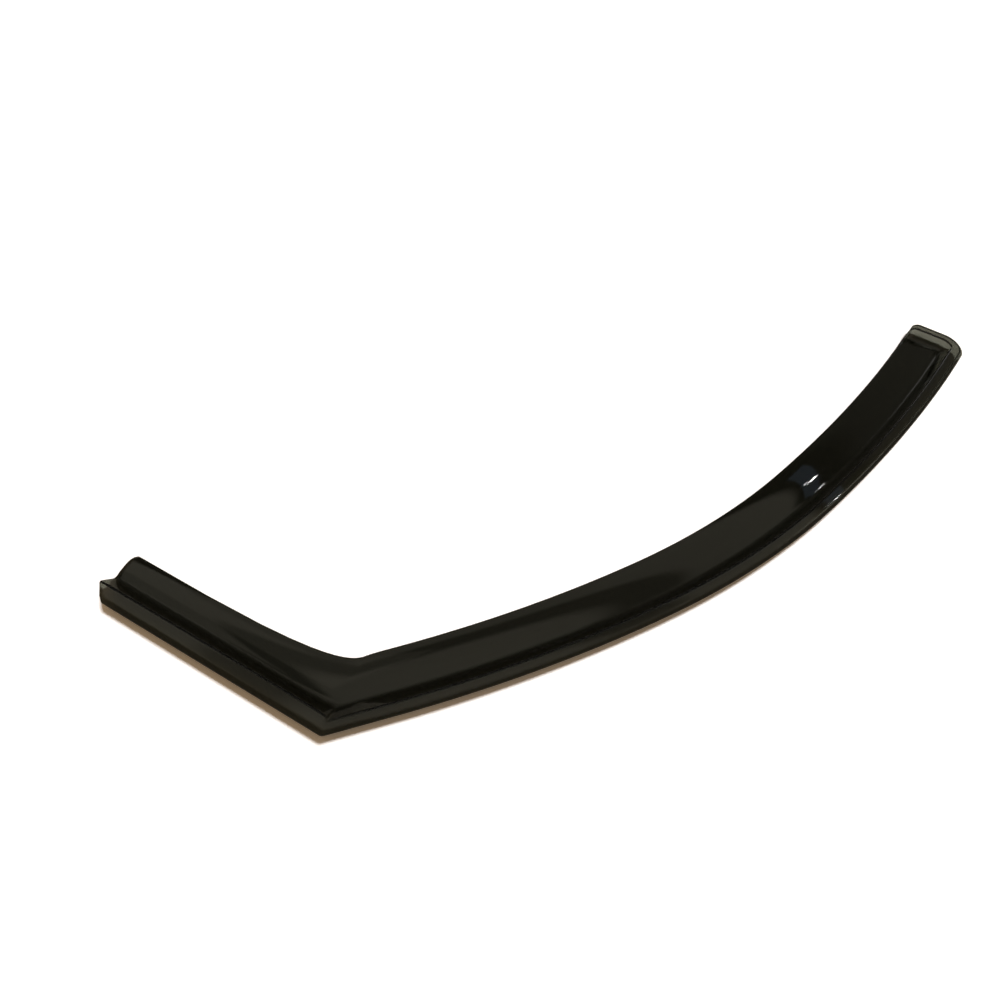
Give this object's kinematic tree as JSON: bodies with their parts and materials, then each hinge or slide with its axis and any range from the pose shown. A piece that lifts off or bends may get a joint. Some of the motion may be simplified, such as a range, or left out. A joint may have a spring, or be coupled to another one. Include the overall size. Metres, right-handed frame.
{
  "type": "window rain deflector",
  "caption": "Smoke-tinted front side window rain deflector, a long curved visor strip with a short mirror arm, stepped bonding rim and open arm tip.",
  "frame": {"origin": "centre of the footprint box, on the surface that the panel lies on", "axes": "+X along the long limb towards its rear end, +Y from the outer edge towards the inner edge, +Z out of the bonding flange"},
  "size_m": [1.109, 0.3476, 0.016],
  "materials": {
    "smoke_acrylic": "polished smoke-tinted acrylic"
  },
  "bodies": {
    "root": {"visor_shell": "smoke_acrylic"}
  },
  "joints": []
}
